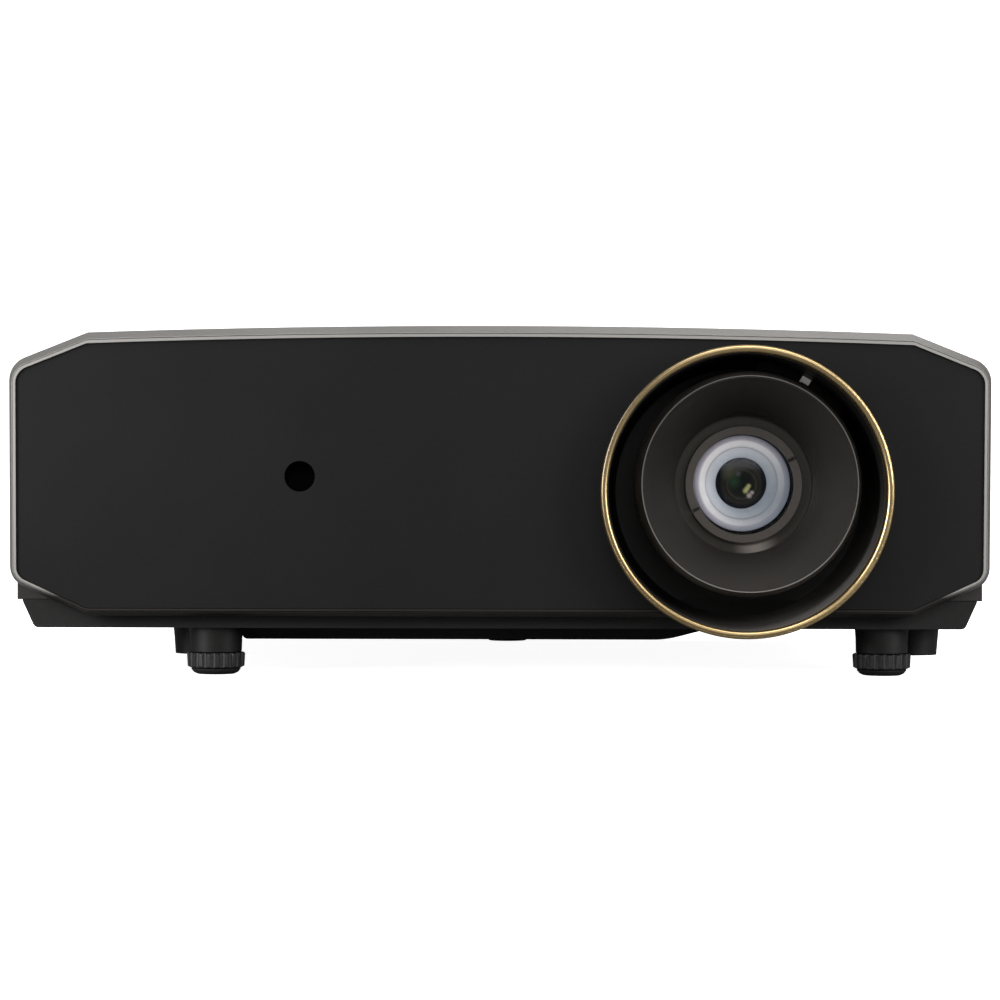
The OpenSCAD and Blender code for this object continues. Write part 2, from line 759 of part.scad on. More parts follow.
// Each socket: [middle x, width, bottom z, height]
sockets = [[-136, 31, board_z, 12.5], [-108, 16, board_z, 13.5], [-89, 15, board_z, 6.4],
           [-70, 15, board_z, 6.4], [-53, 13.2, board_z, 7]];
jacks = [-38, -29];
jack_z = board_z + 4;
inlet_x = [118, 148];
inlet_z = [34, 58];

module main_board() {
    color("#1f4d2b") {
        block([-162, -22], [66, rear_panel_y - 0.5], [board_z - 1.6, board_z]);
        block([-122, -92], [84, 114], [board_z - 0.1, board_z + 2.4]);
        for (x = [-78, -62])
            block([x, x + 12], [84, 94], [board_z - 0.1, board_z + 1.2]);
        for (y = [104, 118])
            disc_z(-40, y, 4, board_z - 0.1, board_z + 9);
    }
}

// Serial, network, two video, one service socket and two jacks
module data_sockets() {
    front = rear_panel_y - 12;
    color("#9aa0a6") {
        for (s = sockets)
            difference() {
                block([s[0] - s[1] / 2, s[0] + s[1] / 2], [front, socket_back_y], [s[2], s[2] + s[3]]);
                block([s[0] - s[1] / 2 + 1.2, s[0] + s[1] / 2 - 1.2], [front + 3, socket_back_y + 1],
                      [s[2] + 1.2, s[2] + s[3] - 1.2]);
            }
        for (j = jacks)
            difference() {
                union() {
                    disc_y([j, jack_z], 3.2, front, socket_back_y);
                    block([j - 3.2, j + 3.2], [front, rear_panel_y - 1], [board_z, jack_z]);
                }
                disc_y([j, jack_z], 1.8, front + 2, socket_back_y + 1);
            }
        for (i = [3, 4]) {
            s = sockets[i];
            block([s[0] - 4.5, s[0] + 4.5], [front + 2, socket_back_y - 3], [s[2] + 2.8, s[2] + 3.6]);
        }
        block([sockets[2][0] - 4.5, sockets[2][0] + 4.5], [front + 2, socket_back_y - 3],
              [board_z + 2.8, board_z + 3.6]);
        block([sockets[0][0] - 8, sockets[0][0] + 8], [front + 2, socket_back_y - 2],
              [board_z + 4.2, board_z + 8.3]);
    }
}

module power_inlet() {
    color("#0c0c0c") difference() {
        block(inlet_x, [rear_panel_y - 16, socket_back_y - 0.5], inlet_z);
        block([inlet_x[0] + 2, inlet_x[1] - 2], [rear_panel_y - 13, back_y], [inlet_z[0] + 2, inlet_z[1] - 2]);
    }
    for (pin = [[-7, 44], [0, 49], [7, 44]])
        color("#c8b878") block([133 + pin[0] - 1, 133 + pin[0] + 1], [rear_panel_y - 14, rear_panel_y - 6],
                               [pin[1] - 2, pin[1] + 2]);
}

module power_board() {
    color("#6b5a2c") {
        block([-16, 112], [34, 110], [27, 28.6]);
        block([0, 36], [52, 84], [28.5, 58]);
        block([50, 78], [44, 70], [28.5, 52]);
        for (x = [88, 102])
            for (y = [52, 70, 88])
                disc_z(x, y, 5.5, 28.5, 55);
    }
}

// ---- Light path ---------------------------------------------------------------------------

// Closed box behind the lens with a way in for the light and a way out to the lens
module engine_housing() {
    color("#55585c") difference() {
        block([52, 156], [-56, 28], [30, 114]);
        block([55, 153], [-53, 25], [33, 111]);
        disc_y(lens_c, 20, -57, -52);
        disc_x(light_axis_y, light_axis_z, 6, 51, 56);
        block([lens_c[0] - 9, lens_c[0] + 9], [24, 29], [lens_c[1] - 7, lens_c[1] + 7]);
    }
}

// Imaging chip on its board, with a finned heat sink behind it
module imager_unit() {
    x = lens_c[0];
    z = lens_c[1];
    color("#7c8a94") {
        block([x - 8, x + 8], [26, 30], [z - 6, z + 6]);
        block([x - 34, x + 34], [29.9, 31.6], [z - 14, z + 30]);
        block([x - 24, x + 24], [31.5, 35], [z - 12, z + 26]);
        for (i = [0 : 9])
            block([x - 24 + 5.1 * i, x - 22.4 + 5.1 * i], [34.9, 52], [z - 12, z + 26]);
    }
}

// Laser diodes on a base plate with its fin stack
module laser_bank() {
    color("#a0a4a8") {
        block([-70, -24], [-45, 25], [36, 104]);
        for (y = [-32, -10, 12])
            for (z = [54, 72, 90])
                disc_x(y, z, 5, -24.1, -18);
        block([-148, -69.9], [-13, -7], [36, 104]);
        for (i = [0 : 12])
            block([-148 + 6 * i, -146.6 + 6 * i], [-45, 25], [36, 104]);
    }
}

module phosphor_wheel() {
    color("#d7d2a0") {
        disc_x(light_axis_y, 50, 24, 6, 7.2);
        disc_x(light_axis_y, 50, 8, 7.1, 13);
    }
}

module colour_wheel() {
    color("#7fb3c9") {
        disc_x(14, light_axis_z, 26, 34, 35);
        disc_x(14, light_axis_z, 8, 28, 34.1);
    }
}

// ---- Cooling ------------------------------------------------------------------------------

// Square frame with a round duct and four struts to the motor cup
module fan_frame(x, y) {
    difference() {
        block([x - 9, x + 9], [y - 36, y + 36], [fan_z - 36, fan_z + 36]);
        disc_x(y, fan_z, fan_bore_r, x - 10, x + 10);
    }
    disc_x(y, fan_z, 13, x - 9, x - 5);
    for (turn = [45 : 90 : 315])
        translate([x, y, fan_z]) rotate([turn, 0, 0]) block([-9, -6.5], [12, 34], [-1.5, 1.5]);
}

module fan_frames() {
    color("#1b1b1b") {
        fan_frame(fan_x, intake_y);
        fan_frame(-fan_x, exhaust_front_y);
        fan_frame(-fan_x, exhaust_rear_y);
    }
}

module fan_rotor(x, y) {
    color("#26282a") {
        disc_x(y, fan_z, 12, x - 4.5, x + 8);
        for (i = [0 : 6])
            translate([x + 1.7, y, fan_z]) rotate([360 / 7 * i, 0, 0])
                translate([0, 0, 11.5]) rotate([0, 0, 38]) block([-0.7, 0.7], [-7, 7], [0, 20]);
    }
}

module fan_rotor_intake() { fan_rotor(fan_x, intake_y); }
module fan_rotor_exhaust_front() { fan_rotor(-fan_x, exhaust_front_y); }
module fan_rotor_exhaust_rear() { fan_rotor(-fan_x, exhaust_rear_y); }

front_frame();
front_panel();
top_cover();
bottom_case();
rear_panel();
base_cover();
side_grille_left();
side_grille_right();
lens_ring();
lens_shroud();
ir_window();
shift_door();
dial_well();
shift_dial_vertical();
shift_dial_horizontal();
shift_frame();
guide_rods();
vertical_stage();
horizontal_stage();
lens_baffle();
lens_barrel();
focus_ring();
zoom_ring();
zoom_lever();
front_cell();
front_element();
retaining_ring();
zoom_group();
key_panel();
small_boards();
status_lights();
key_power();
key_menu();
key_back();
key_up();
key_down();
key_left();
key_right();
key_enter();
foot_stud_left();
foot_wheel_left();
foot_stud_right();
foot_wheel_right();
rear_foot();
ceiling_bosses();
mount_inserts();
casing_screws();
main_board();
data_sockets();
power_inlet();
power_board();
engine_housing();
imager_unit();
laser_bank();
phosphor_wheel();
colour_wheel();
fan_frames();
fan_rotor_intake();
fan_rotor_exhaust_front();
fan_rotor_exhaust_rear();
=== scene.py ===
"""Looks of the home projector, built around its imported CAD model. Lengths are in metres."""
import json
import math

import bmesh
import bpy
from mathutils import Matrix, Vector


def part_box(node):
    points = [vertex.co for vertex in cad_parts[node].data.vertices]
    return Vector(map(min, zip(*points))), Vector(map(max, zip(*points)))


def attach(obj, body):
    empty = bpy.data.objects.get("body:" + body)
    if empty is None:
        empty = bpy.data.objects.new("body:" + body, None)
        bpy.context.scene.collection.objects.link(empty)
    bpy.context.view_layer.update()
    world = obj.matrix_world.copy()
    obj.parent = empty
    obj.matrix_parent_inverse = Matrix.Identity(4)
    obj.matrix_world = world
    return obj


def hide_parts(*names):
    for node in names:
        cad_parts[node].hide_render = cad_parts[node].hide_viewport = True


MM = 0.001
TURN = 2 * math.pi

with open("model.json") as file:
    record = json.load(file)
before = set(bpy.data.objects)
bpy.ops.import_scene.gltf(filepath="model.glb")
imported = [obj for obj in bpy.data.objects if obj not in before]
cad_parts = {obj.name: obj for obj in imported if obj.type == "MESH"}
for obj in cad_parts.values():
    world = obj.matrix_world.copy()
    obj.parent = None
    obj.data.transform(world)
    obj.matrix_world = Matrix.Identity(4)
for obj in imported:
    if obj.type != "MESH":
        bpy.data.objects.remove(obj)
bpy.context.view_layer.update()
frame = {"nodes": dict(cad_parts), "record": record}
nodes = frame["nodes"]


# ---- Places taken from the frame --------------------------------------------------------

def middle(node):
    """Middle of a CAD node's box."""
    low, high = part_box(node)
    return (low + high) / 2


front_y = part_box("front_frame")[0].y
lens_x, lens_z = middle("front_cell").x, middle("front_cell").z
element_low, element_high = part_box("front_element")
element_r = (element_high.x - element_low.x) / 2


# ---- Shader helpers ---------------------------------------------------------------------

def shader(name):
    """A new material, its node tree and its Principled shader."""
    material = bpy.data.materials.new(name)
    material.use_nodes = True
    tree = material.node_tree
    return material, tree, tree.nodes["Principled BSDF"]


def object_coords(tree):
    return tree.nodes.new("ShaderNodeTexCoord").outputs["Object"]


def split(tree, vector):
    """The X, Y and Z outputs of a vector."""
    node = tree.nodes.new("ShaderNodeSeparateXYZ")
    tree.links.new(vector, node.inputs["Vector"])
    return node.outputs


def maths(tree, operation, *values):
    """Result of a math operation on sockets and numbers."""
    node = tree.nodes.new("ShaderNodeMath")
    node.operation = operation
    for socket, value in zip(node.inputs, values):
        if isinstance(value, (int, float)):
            socket.default_value = value
        else:
            tree.links.new(value, socket)
    return node.outputs["Value"]


def noise(tree, coords, scale, detail=2.0, stretch=None):
    """Noise over the object, at `scale` features to the metre."""
    if stretch:
        mapping = tree.nodes.new("ShaderNodeMapping")
        mapping.inputs["Scale"].default_value = stretch
        tree.links.new(coords, mapping.inputs["Vector"])
        coords = mapping.outputs["Vector"]
    texture = tree.nodes.new("ShaderNodeTexNoise")
    texture.inputs["Scale"].default_value = scale
    texture.inputs["Detail"].default_value = detail
    tree.links.new(coords, texture.inputs["Vector"])
    return texture.outputs["Fac"]


def ramp(tree, value, stops):
    """Colour ramp through (position, colour) stops."""
    node = tree.nodes.new("ShaderNodeValToRGB")
    elements = node.color_ramp.elements
    while len(elements) < len(stops):
        elements.new(0.5)
    for element, (position, colour) in zip(elements, stops):
        element.position = position
        element.color = (*colour, 1)
    tree.links.new(value, node.inputs["Fac"])
    return node.outputs["Color"]


def ranged(tree, value, low, high, start=0.0, end=1.0, shape="LINEAR"):
    """Maps low to high onto start to end, and holds the ends."""
    node = tree.nodes.new("ShaderNodeMapRange")
    node.interpolation_type = shape
    node.inputs["From Min"].default_value = low
    node.inputs["From Max"].default_value = high
    node.inputs["To Min"].default_value = start
    node.inputs["To Max"].default_value = end
    tree.links.new(value, node.inputs["Value"])
    return node.outputs["Result"]


def spread(tree, value, low, high):
    """Maps a 0.3 to 0.7 noise value to low to high."""
    return ranged(tree, value, 0.3, 0.7, low, high)


def fall(tree, distance, reach, most):
    """Smooth fall from `most` at no distance to nothing at `reach`."""
    return ranged(tree, distance, 0.0, reach, most, 0.0, "SMOOTHSTEP")


def bump(tree, target, height, depth):
    """Gives a shader a bump of the given depth in metres."""
    node = tree.nodes.new("ShaderNodeBump")
    node.inputs["Strength"].default_value = 1.0
    node.inputs["Distance"].default_value = depth
    tree.links.new(height, node.inputs["Height"])
    tree.links.new(node.outputs["Normal"], target.inputs["Normal"])


def mixed(tree, factor, under, over, blend="MIX"):
    """`over` laid on `under` by a factor; each is a socket, or a number or colour."""
    node = tree.nodes.new("ShaderNodeMix")
    node.data_type = "RGBA"
    node.blend_type = blend
    for socket, value in ((node.inputs["Factor"], factor), (node.inputs[6], under), (node.inputs[7], over)):
        if isinstance(value, tuple):
            socket.default_value = (*value, 1)
        elif isinstance(value, float):
            socket.default_value = value
        else:
            tree.links.new(value, socket)
    return node.outputs[2]


def shade(colour, factor):
    return tuple(min(1.0, c * factor) for c in colour)


def finish(name, colour, rough, metal=0.0, grain=1800, depth=0.00002, vary=0.25, patch=14,
           specular=0.5, coat=0.0, stretch=None):
    """A moulded, painted or machined surface: fine grain, and slow changes of tone and gloss."""
    material, tree, bsdf = shader(name)
    coords = object_coords(tree)
    fine = noise(tree, coords, grain, 3, stretch)
    slow = noise(tree, coords, patch, 2)
    fleck = ramp(tree, fine, [(0.3, shade(colour, 1 - vary)), (0.7, shade(colour, 1 + vary))])
    tone = ramp(tree, slow, [(0.3, shade((1, 1, 1), 0.88)), (0.7, (1, 1, 1))])
    tree.links.new(mixed(tree, 1.0, fleck, tone, "MULTIPLY"), bsdf.inputs["Base Color"])
    tree.links.new(spread(tree, slow, rough * 0.9, rough * 1.1), bsdf.inputs["Roughness"])
    bsdf.inputs["Metallic"].default_value = metal
    bsdf.inputs["Specular IOR Level"].default_value = specular
    bsdf.inputs["Coat Weight"].default_value = coat
    bsdf.inputs["Coat Roughness"].default_value = 0.08
    bump(tree, bsdf, fine, depth)
    return material


def radius_from(tree, x, z):
    """Distance from the Y line through x, z, in metres."""
    place = split(tree, object_coords(tree))
    sides = maths(tree, "SUBTRACT", place["X"], x), maths(tree, "SUBTRACT", place["Z"], z)
    squares = [maths(tree, "POWER", side, 2) for side in sides]
    return maths(tree, "SQRT", maths(tree, "ADD", *squares))


def banded(name, reach, stops, rough, centre, glow=0.0, coat=0.0, shady=None, spots=()):
    """Rings of colour about a centre: stops are (share of reach, colour).

    `shady` is a colour of painted shade laid over the lower right side. Each spot is (x, z, radius, colour)
    from the centre.
    """
    material, tree, bsdf = shader(name)
    colour = ramp(tree, maths(tree, "DIVIDE", radius_from(tree, *centre), reach), stops)
    if shady:
        far = radius_from(tree, centre[0] + reach, centre[1] - reach * 0.6)
        colour = mixed(tree, fall(tree, far, reach * 2.4, 0.85),
                       colour, shady)
    for x, z, size, tint in spots:
        distance = radius_from(tree, centre[0] + x, centre[1] + z)
        colour = mixed(tree, fall(tree, distance, size, 1.0), colour, tint)
    tree.links.new(colour, bsdf.inputs["Base Color"])
    tree.links.new(colour, bsdf.inputs["Emission Color"])
    bsdf.inputs["Emission Strength"].default_value = glow
    haze = noise(tree, object_coords(tree), 90, 2)
    tree.links.new(spread(tree, haze, rough * 0.8, rough * 1.2), bsdf.inputs["Roughness"])
    bsdf.inputs["Specular IOR Level"].default_value = 0.2
    bsdf.inputs["Coat Weight"].default_value = coat
    bsdf.inputs["Coat Roughness"].default_value = 0.03
    return material


def by_radius(centre, inner, outer, stops, near=None):
    """Amount for lay_over, by distance from a Y line: stops are (share from inner to outer, amount).

    With `near`, (x, z, reach), it fades away from that point.
    """
    def amount(tree):
        share = ranged(tree, radius_from(tree, *centre), inner, outer)
        rings = ramp(tree, share, [(at, (level, level, level)) for at, level in stops])
        if near is None:
            return rings
        distance = radius_from(tree, near[0], near[1])
        return maths(tree, "MULTIPLY", rings, fall(tree, distance, near[2], 1.0))
    return amount


def by_height(low, high):
    """Amount for lay_over that rises from 0 at `low` to 1 at `high`."""
    def amount(tree):
        return ranged(tree, split(tree, object_coords(tree))["Z"], low, high)
    return amount


def facing_front(tree):
    """Amount for lay_over: 1 on faces square to the front, 0 on sloping ones."""
    normal = tree.nodes.new("ShaderNodeNewGeometry").outputs["Normal"]
    return ranged(tree, split(tree, normal)["Y"], -0.75, -0.95)


def lay_over(material, amount, colour):
    """Lays a colour over a finish's own, as far as amount(tree) says."""
    tree = material.node_tree
    target = tree.nodes["Principled BSDF"].inputs["Base Color"]
    under = target.links[0].from_socket
    tree.links.new(mixed(tree, amount(tree), under, colour), target)


def coated_glass():
    """Clear glass with a faint cool coating and a trace of dust."""
    material, tree, bsdf = shader("coated_glass")
    haze = noise(tree, object_coords(tree), 400, 3)
    tint = ramp(tree, haze, [(0.3, (0.93, 0.93, 0.96)), (0.7, (0.97, 0.97, 0.99))])
    tree.links.new(tint, bsdf.inputs["Base Color"])
    tree.links.new(spread(tree, haze, 0.01, 0.03), bsdf.inputs["Roughness"])
    bsdf.inputs["Transmission Weight"].default_value = 1.0
    bsdf.inputs["IOR"].default_value = 1.12
    return material


def board():
    """Green solder mask with a faint grid of tracks."""
    material, tree, bsdf = shader("circuit_board")
    coords = object_coords(tree)
    brick = tree.nodes.new("ShaderNodeTexBrick")
    brick.inputs["Scale"].default_value = 160
    brick.inputs["Mortar Size"].default_value = 0.03
    brick.inputs["Color1"].default_value = (0.006, 0.07, 0.025, 1)
    brick.inputs["Color2"].default_value = (0.008, 0.09, 0.03, 1)
    brick.inputs["Mortar"].default_value = (0.03, 0.16, 0.06, 1)
    tree.links.new(coords, brick.inputs["Vector"])
    tree.links.new(brick.outputs["Color"], bsdf.inputs["Base Color"])
    fine = noise(tree, coords, 900, 2)
    tree.links.new(spread(tree, fine, 0.3, 0.42), bsdf.inputs["Roughness"])
    bump(tree, bsdf, brick.outputs["Fac"], 0.00003)
    return material


# ---- Materials --------------------------------------------------------------------------

materials = {
    "frame_metal": finish("frame_metal", (0.13, 0.125, 0.119), 0.42, metal=0.45, grain=2600,
                          depth=0.000006, vary=0.12, specular=0.4),
    "panel_black": finish("panel_black", (0.0068, 0.0068, 0.0069), 0.55, grain=2600,
                          depth=0.000012, vary=0.2, specular=0.1),
    "cover_graphite": finish("cover_graphite", (0.032, 0.03, 0.0285), 0.42, metal=0.35, grain=2400,
                             depth=0.000008, vary=0.15, specular=0.35),
    "case_black": finish("case_black", (0.007, 0.0068, 0.0065), 0.5, grain=1600, depth=0.00003,
                         vary=0.25, specular=0.25),
    "grille_black": finish("grille_black", (0.011, 0.011, 0.011), 0.5, grain=1500, depth=0.00003,
                           vary=0.3, specular=0.35),
    "gold": finish("gold", (0.49, 0.365, 0.185), 0.29, metal=1.0, grain=300, depth=0.0000002,
                   vary=0.04),
    "shroud_black": finish("shroud_black", (0.0055, 0.0052, 0.005), 0.4, grain=2200,
                           depth=0.000006, vary=0.15, specular=0.25),
    "lens_black": finish("lens_black", (0.0150, 0.0128, 0.0113), 0.44, grain=2600,
                         depth=0.000006, vary=0.15, specular=0.35),
    "lever_grey": finish("lever_grey", (0.85, 0.82, 0.78), 0.4, grain=1500, depth=0.00001,
                         vary=0.1),
    "focus_black": finish("focus_black", (0.0150, 0.0128, 0.0113), 0.44, grain=2600,
                          depth=0.000006, vary=0.15, specular=0.35),
    "cell_brown": finish("cell_brown", (0.030, 0.025, 0.019), 0.34, metal=0.3, grain=1800,
                         depth=0.000006, vary=0.15),
    "retainer_brown": finish("retainer_brown", (0.085, 0.073, 0.064), 0.36, metal=0.3, grain=1800,
                             depth=0.000006, vary=0.15),
    "alloy": finish("alloy", (0.42, 0.425, 0.43), 0.36, metal=1.0, grain=900, depth=0.00001,
                    vary=0.12, stretch=(1, 1, 8)),
    "steel": finish("steel", (0.5, 0.5, 0.5), 0.28, metal=1.0, grain=1200, depth=0.000006,
                    vary=0.1),
    "brass": finish("brass", (0.55, 0.40, 0.16), 0.3, metal=1.0, grain=1200, depth=0.000006,
                    vary=0.12),
    "key_black": finish("key_black", (0.02, 0.02, 0.02), 0.5, grain=2500, depth=0.00002, vary=0.3,
                        specular=0.35),
    "key_panel_black": finish("key_panel_black", (0.006, 0.006, 0.0065), 0.16, grain=1800,
                              depth=0.000002, vary=0.15, coat=0.5),
    "foot_black": finish("foot_black", (0.012, 0.012, 0.012), 0.5, grain=1600, depth=0.00004,
                         vary=0.3, specular=0.4),
    "foot_rubber": finish("foot_rubber", (0.013, 0.013, 0.0125), 0.8, grain=1200, depth=0.00006,
                          vary=0.35, specular=0.2),
    "socket_metal": finish("socket_metal", (0.46, 0.45, 0.43), 0.3, metal=1.0, grain=1500,
                           depth=0.00001, vary=0.12),
    "inlet_black": finish("inlet_black", (0.008, 0.008, 0.008), 0.35, grain=1500, depth=0.00002,
                          vary=0.25),
    "ir_dark": finish("ir_dark", (0.0012, 0.0006, 0.0006), 0.5, grain=900, depth=0.000002,
                      vary=0.2, specular=0.04),
    "light_clear": finish("light_clear", (0.5, 0.55, 0.6), 0.3, grain=1500, depth=0.00001,
                          vary=0.08, coat=0.4),
    "wheel_yellow": finish("wheel_yellow", (0.65, 0.6, 0.25), 0.3, metal=0.6, grain=1200,
                           depth=0.00001, vary=0.12),
    "wheel_blue": finish("wheel_blue", (0.2, 0.42, 0.6), 0.1, metal=0.3, grain=700,
                         depth=0.000002, vary=0.1, coat=0.5),
    "dial_grey": finish("dial_grey", (0.06, 0.06, 0.06), 0.5, grain=1600, depth=0.00003, vary=0.25),
    "door_black": finish("door_black", (0.022, 0.021, 0.02), 0.46, grain=2000, depth=0.00002,
                         vary=0.3, specular=0.35),
    "board_green": board(),
    "coated_glass": coated_glass(),
}

# Painted light: a faint glow for the lever, which sits deep in the shade of the bowl, and for the marks on
# the keys
lever_shader = materials["lever_grey"].node_tree.nodes["Principled BSDF"]
lever_shader.inputs["Emission Color"].default_value = (0.85, 0.82, 0.78, 1)
lever_shader.inputs["Emission Strength"].default_value = 0.11

# Painted highlight on the frame's faces square to the front, and painted shade darkening the frame towards
# the bottom
lay_over(materials["frame_metal"], facing_front, (0.26, 0.252, 0.24))
lay_over(materials["frame_metal"], by_height(37 * MM, 33 * MM), (0.016, 0.014, 0.0125))

# Greyer outer edge of the gold ring toward the upper left: a grey edge band, and painted shade over its
# reflection there
ring_centre = (middle("lens_ring").x, middle("lens_ring").z)
ring_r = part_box("lens_ring")[1].x - ring_centre[0]
lay_over(materials["gold"],
         by_radius(ring_centre, ring_r - 1.8 * MM, ring_r, [(0.1, 0), (0.45, 1)],
                   near=(ring_centre[0] - 70 * MM, ring_centre[1] + 25 * MM, 95 * MM)),
         (0.055, 0.051, 0.046))
# Painted light: a pale patch in the lower right of the bowl inside the ring
lay_over(materials["shroud_black"],
         by_radius(ring_centre, ring_r - 9 * MM, ring_r - 3 * MM, [(0.0, 0), (0.7, 1), (0.95, 0.6)],
                   near=(ring_centre[0] + 32 * MM, ring_centre[1] - 48 * MM, 74 * MM)),
         (0.085, 0.08, 0.076))

# Dark seam around the retaining ring
retainer_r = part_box("retaining_ring")[1].x - middle("retaining_ring").x
lay_over(materials["retainer_brown"],
         by_radius((lens_x, lens_z), retainer_r - 0.6 * MM, retainer_r, [(0.2, 0), (0.5, 1)]),
         (0.006, 0.005, 0.004))

# Painted shade: darker gold in the lower left of the ring
lay_over(materials["gold"],
         by_radius(ring_centre, 0, ring_r, [(0.0, 1), (1.0, 1)],
                   near=(ring_centre[0] - 30 * MM, ring_centre[1] - 55 * MM, 95 * MM)),
         (0.27, 0.195, 0.095))

# Shadow in the retaining ring's two notches
for notch_turn in (math.radians(62.5), math.radians(242)):
    for notch_r in (21.7 * MM, 22.6 * MM, 23.5 * MM):
        notch = (lens_x + notch_r * math.sin(notch_turn), lens_z + notch_r * math.cos(notch_turn))
        for name in ("retainer_brown", "cell_brown"):
            lay_over(materials[name], by_radius(notch, 0, 1 * MM, [(0.4, 1), (0.8, 0)]),
                     (0.004, 0.004, 0.004))

# Glint in the bottom of the front cell's bore
lay_over(materials["cell_brown"],
         by_radius((lens_x, lens_z), 24 * MM, 26.4 * MM, [(0.1, 0), (0.35, 1), (0.6, 0.3), (0.9, 0.9)],
                   near=(lens_x + 5 * MM, lens_z - 25 * MM, 11 * MM)), (0.30, 0.265, 0.235))

# Painted highlight: a pale line on the focus ring's lip; and a lighter, browner band on its shoulder
focus_lip_r = 44.5 * MM
lay_over(materials["focus_black"],
         by_radius((lens_x, lens_z), focus_lip_r, focus_lip_r + 2.4 * MM,
                   [(0.12, 0), (0.3, 1), (0.75, 0.7), (0.9, 1)]), (0.06, 0.053, 0.046))
lay_over(materials["focus_black"],
         by_radius((lens_x, lens_z), focus_lip_r - 0.5 * MM, focus_lip_r + 0.5 * MM,
                   [(0.2, 0), (0.32, 1), (0.72, 1), (0.85, 0)]), (0.12, 0.115, 0.108))


# ---- Finish of the CAD nodes ---------------------------------------------------------------

WELD_REACH = 0.002 * MM
FLAT_ANGLE = math.radians(0.2)      # faces this near to flush become one
SHARP_ANGLE = math.radians(30)      # edges over this stay sharp
BEVEL_ANGLE = math.radians(35)      # edges over this are bevelled
KEY_BEVEL = 0.4                     # mm


def edge_smoothing():
    """Node group that shades smooth and keeps edges over SHARP_ANGLE sharp."""
    group = bpy.data.node_groups.new("smooth_by_edge_angle", "GeometryNodeTree")
    group.interface.new_socket("Geometry", in_out="INPUT", socket_type="NodeSocketGeometry")
    group.interface.new_socket("Geometry", in_out="OUTPUT", socket_type="NodeSocketGeometry")
    enter = group.nodes.new("NodeGroupInput")
    leave = group.nodes.new("NodeGroupOutput")
    angle = group.nodes.new("GeometryNodeInputMeshEdgeAngle")
    small = group.nodes.new("FunctionNodeCompare")
    small.operation = "LESS_EQUAL"
    small.inputs["B"].default_value = SHARP_ANGLE
    faces = group.nodes.new("GeometryNodeSetShadeSmooth")
    edges = group.nodes.new("GeometryNodeSetShadeSmooth")
    edges.domain = "EDGE"
    group.links.new(enter.outputs["Geometry"], faces.inputs["Geometry"])
    group.links.new(faces.outputs["Geometry"], edges.inputs["Geometry"])
    group.links.new(angle.outputs["Unsigned Angle"], small.inputs["A"])
    group.links.new(small.outputs["Result"], edges.inputs["Shade Smooth"])
    group.links.new(edges.outputs["Geometry"], leave.inputs["Geometry"])
    return group


SMOOTH = edge_smoothing()
# Bevel widths in mm; a node named neither here nor as a key keeps its edges
BEVELS = {
    "front_panel": 0.2, "top_cover": 0.5, "bottom_case": 0.4,
    "rear_panel": 0.15, "base_cover": 0.4, "side_grille_left": 0.2, "side_grille_right": 0.2,
    "zoom_lever": 0.35, "key_panel": 0.3, "shift_door": 0.2, "dial_well": 0.3,
    "foot_wheel_left": 0.2, "foot_wheel_right": 0.2, "rear_foot": 0.3, "data_sockets": 0.1,
    "power_inlet": 0.3, "shift_dial_vertical": 0.2, "shift_dial_horizontal": 0.2,
    "casing_screws": 0.15, "engine_housing": 0.5, "fan_frames": 0.4,
}


def dress(name, material):
    """Welds, bevels and smooths a CAD node by modifiers, and gives it its material."""
    obj = nodes[name]
    obj.data.materials.clear()
    obj.data.materials.append(material)
    weld = obj.modifiers.new("weld", "WELD")
    weld.merge_threshold = WELD_REACH
    width = BEVELS.get(name, KEY_BEVEL if name.startswith("key_") else 0)
    if width:
        flatten = obj.modifiers.new("flatten", "DECIMATE")
        flatten.decimate_type = "DISSOLVE"
        flatten.angle_limit = FLAT_ANGLE
        edge = obj.modifiers.new("edge", "BEVEL")
        edge.width = width * MM
        edge.segments = 2
        edge.limit_method = "ANGLE"
        edge.angle_limit = BEVEL_ANGLE
    smooth = obj.modifiers.new("smooth", "NODES")
    smooth.node_group = SMOOTH
    if width:
        even = obj.modifiers.new("even", "WEIGHTED_NORMAL")
        even.keep_sharp = True


for part in frame["record"]["subparts"]:
    dress(part["node"], materials[part["material_slot"]])
nodes["retaining_ring"].data.materials[0] = materials["retainer_brown"]
nodes["focus_ring"].data.materials[0] = materials["focus_black"]


# ---- Optics seen through the front glass -----------------------------------------------------

def lathe(name, profile, material, body, x=None, z=None, turns=192):
    """Turned piece about the Y line through x, z, from a closed (radius, y) profile."""
    x = lens_x if x is None else x
    z = lens_z if z is None else z
    mesh = bmesh.new()
    rings = []
    for r, y in profile:
        if r < 1e-7:
            rings.append([mesh.verts.new((x, y, z))])
            continue
        rings.append([mesh.verts.new((x + r * math.cos(TURN * i / turns), y,
                                      z + r * math.sin(TURN * i / turns)))
                      for i in range(turns)])
    for ring, after in zip(rings, rings[1:] + rings[:1]):
        for i in range(turns):
            corners = [ring[i % len(ring)], ring[(i + 1) % len(ring)],
                       after[(i + 1) % len(after)], after[i % len(after)]]
            corners = list(dict.fromkeys(corners))
            if len(corners) > 2:
                mesh.faces.new(corners)
    bmesh.ops.recalc_face_normals(mesh, faces=mesh.faces)
    return piece(name, mesh, material, body)


def piece(name, mesh, material, body):
    """Makes a smooth-shaded object of a bmesh and lets it ride on a body."""
    data = bpy.data.meshes.new(name)
    mesh.to_mesh(data)
    mesh.free()
    data.materials.append(material)
    obj = bpy.data.objects.new(name, data)
    bpy.context.scene.collection.objects.link(obj)
    obj.modifiers.new("smooth", "NODES").node_group = SMOOTH
    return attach(obj, body)


def dome(radius, edge_y, rise, steps=24):
    """Profile points of a shallow dome, from its middle out to its edge."""
    return [(radius * i / steps, edge_y - rise * (1 - (i / steps) ** 2)) for i in range(steps + 1)]


